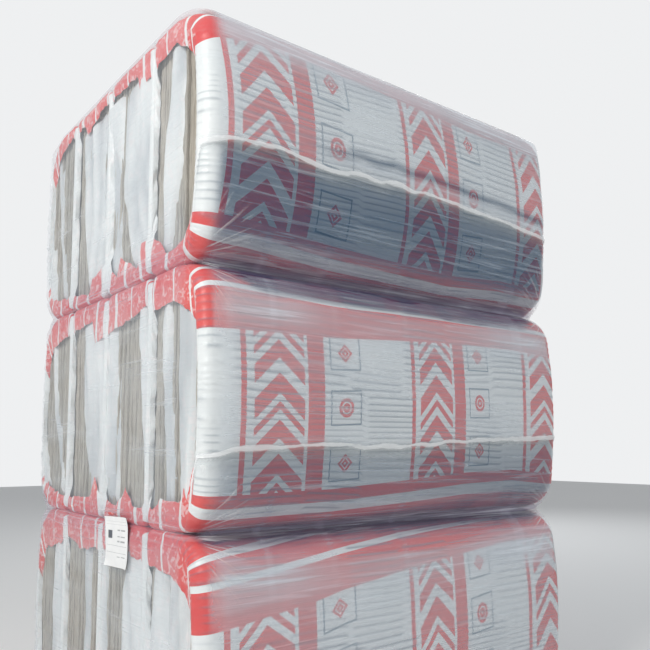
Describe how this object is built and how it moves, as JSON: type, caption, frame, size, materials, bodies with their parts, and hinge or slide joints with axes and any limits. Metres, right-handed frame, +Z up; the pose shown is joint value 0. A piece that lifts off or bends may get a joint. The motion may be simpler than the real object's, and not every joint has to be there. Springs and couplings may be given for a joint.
{
  "type": "stretch-wrapped stack of mineral wool slab packs",
  "caption": "Film-wrapped stack of mineral wool slab packs: slabs on edge in film sleeves that leave their ends open, standing in tiers and bound by wound stretch film.",
  "frame": {"origin": "on the floor, under the middle of the bottom tier", "axes": "+Z up, X along the slabs' length, Y across the packs"},
  "size_m": [1.2563, 1.1784, 1.8397],
  "materials": {
    "wool": "matt fibrous wool, grey-beige",
    "sleeve_film": "printed polyethylene film, white with red bands",
    "stretch_film": "clear glossy stretch film",
    "label_paper": "matt white paper"
  },
  "bodies": {
    "root": {"bottom_front_slabs": "wool", "bottom_inner_front_slabs": "wool", "bottom_inner_back_slabs": "wool", "bottom_back_slabs": "wool", "middle_front_slabs": "wool", "middle_inner_front_slabs": "wool", "middle_inner_back_slabs": "wool", "middle_back_slabs": "wool", "top_front_slabs": "wool", "top_inner_front_slabs": "wool", "top_inner_back_slabs": "wool", "top_back_slabs": "wool", "bottom_front_film": "sleeve_film", "bottom_inner_front_film": "sleeve_film", "bottom_inner_back_film": "sleeve_film", "bottom_back_film": "sleeve_film", "middle_front_film": "sleeve_film", "middle_inner_front_film": "sleeve_film", "middle_inner_back_film": "sleeve_film", "middle_back_film": "sleeve_film", "top_front_film": "sleeve_film", "top_inner_front_film": "sleeve_film", "top_inner_back_film": "sleeve_film", "top_back_film": "sleeve_film", "stretch_wrap": "stretch_film", "label": "label_paper"}
  },
  "joints": []
}
